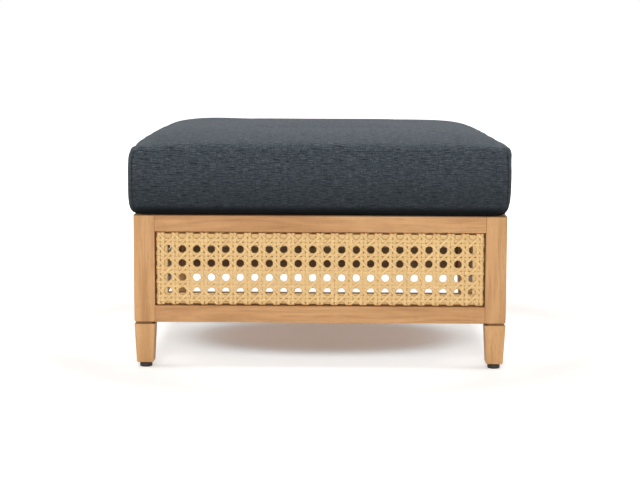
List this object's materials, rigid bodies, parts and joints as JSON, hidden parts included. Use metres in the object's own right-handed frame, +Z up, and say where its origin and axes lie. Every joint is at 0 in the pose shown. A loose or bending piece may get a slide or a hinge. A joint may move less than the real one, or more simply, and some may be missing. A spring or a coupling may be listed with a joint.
{
  "type": "outdoor ottoman footstool",
  "caption": "Square wooden footstool with woven cane side panels, tapered feet and a loose, crowned box cushion with a zipped cover.",
  "frame": {"origin": "on the floor, under the middle of the footprint", "axes": "+Z up, +Y from the front to the back, +X to the right as seen from the front; the zip is in the back of the cushion"},
  "size_m": [0.757, 0.757, 0.4712],
  "materials": {
    "post_wood": "matte",
    "rail_wood": "matte",
    "foot_wood": "matte",
    "inner_wood": "matte",
    "cane": "satin",
    "cover_fabric": "matte",
    "foam": "matte",
    "glide": "matte",
    "steel": "satin",
    "zip_tape": "matte",
    "zip_metal": "satin"
  },
  "bodies": {
    "frame": {"post_front_left": "post_wood", "post_front_right": "post_wood", "post_rear_right": "post_wood", "post_rear_left": "post_wood", "top_rail_front": "rail_wood", "bottom_rail_front": "rail_wood", "top_rail_right": "rail_wood", "bottom_rail_right": "rail_wood", "top_rail_rear": "rail_wood", "bottom_rail_rear": "rail_wood", "top_rail_left": "rail_wood", "bottom_rail_left": "rail_wood", "foot_front_left": "foot_wood", "foot_front_right": "foot_wood", "foot_rear_right": "foot_wood", "foot_rear_left": "foot_wood", "hanger_bolt_front_left": "steel", "hanger_bolt_front_right": "steel", "hanger_bolt_rear_right": "steel", "hanger_bolt_rear_left": "steel", "cane_front": "cane", "panel_strip_front_top": "inner_wood", "panel_strip_front_bottom": "inner_wood", "panel_strip_front_left": "inner_wood", "panel_strip_front_right": "inner_wood", "cane_right": "cane", "panel_strip_right_top": "inner_wood", "panel_strip_right_bottom": "inner_wood", "panel_strip_right_left": "inner_wood", "panel_strip_right_right": "inner_wood", "cane_rear": "cane", "panel_strip_rear_top": "inner_wood", "panel_strip_rear_bottom": "inner_wood", "panel_strip_rear_left": "inner_wood", "panel_strip_rear_right": "inner_wood", "cane_left": "cane", "panel_strip_left_top": "inner_wood", "panel_strip_left_bottom": "inner_wood", "panel_strip_left_left": "inner_wood", "panel_strip_left_right": "inner_wood", "slat_cleat_front": "inner_wood", "slat_cleat_rear": "inner_wood", "slat_1": "inner_wood", "slat_2": "inner_wood", "slat_3": "inner_wood", "slat_4": "inner_wood", "slat_5": "inner_wood"},
    "leveler_front_left": {"glide_front_left": "glide", "glide_stem_front_left": "steel"},
    "leveler_front_right": {"glide_front_right": "glide", "glide_stem_front_right": "steel"},
    "leveler_rear_right": {"glide_rear_right": "glide", "glide_stem_rear_right": "steel"},
    "leveler_rear_left": {"glide_rear_left": "glide", "glide_stem_rear_left": "steel"},
    "cushion": {"cushion_cover": "cover_fabric", "cushion_foam": "foam", "zip_tape": "zip_tape"},
    "slider": {"zip_slider": "zip_metal"},
    "pull": {"zip_pull": "zip_metal"}
  },
  "joints": [
    {"name": "cushion_lift", "type": "slide", "parent": "frame", "child": "cushion", "axis": [0, 0, 1], "range_m": [0, 0.25]},
    {"name": "level_front_left", "type": "slide", "parent": "frame", "child": "leveler_front_left", "axis": [0, 0, -1], "range_m": [0, 0.008]},
    {"name": "level_front_right", "type": "slide", "parent": "frame", "child": "leveler_front_right", "axis": [0, 0, -1], "range_m": [0, 0.008]},
    {"name": "level_rear_right", "type": "slide", "parent": "frame", "child": "leveler_rear_right", "axis": [0, 0, -1], "range_m": [0, 0.008]},
    {"name": "level_rear_left", "type": "slide", "parent": "frame", "child": "leveler_rear_left", "axis": [0, 0, -1], "range_m": [0, 0.008]},
    {"name": "zip_slide", "type": "slide", "parent": "cushion", "child": "slider", "axis": [-1, 0, 0], "range_m": [0, 0.53]},
    {"name": "pull_swing", "type": "hinge", "parent": "slider", "child": "pull", "pos_m": [0.274, 0.37415, 0.376], "axis": [0, 0, -1], "range_deg": [0, 150]}
  ]
}
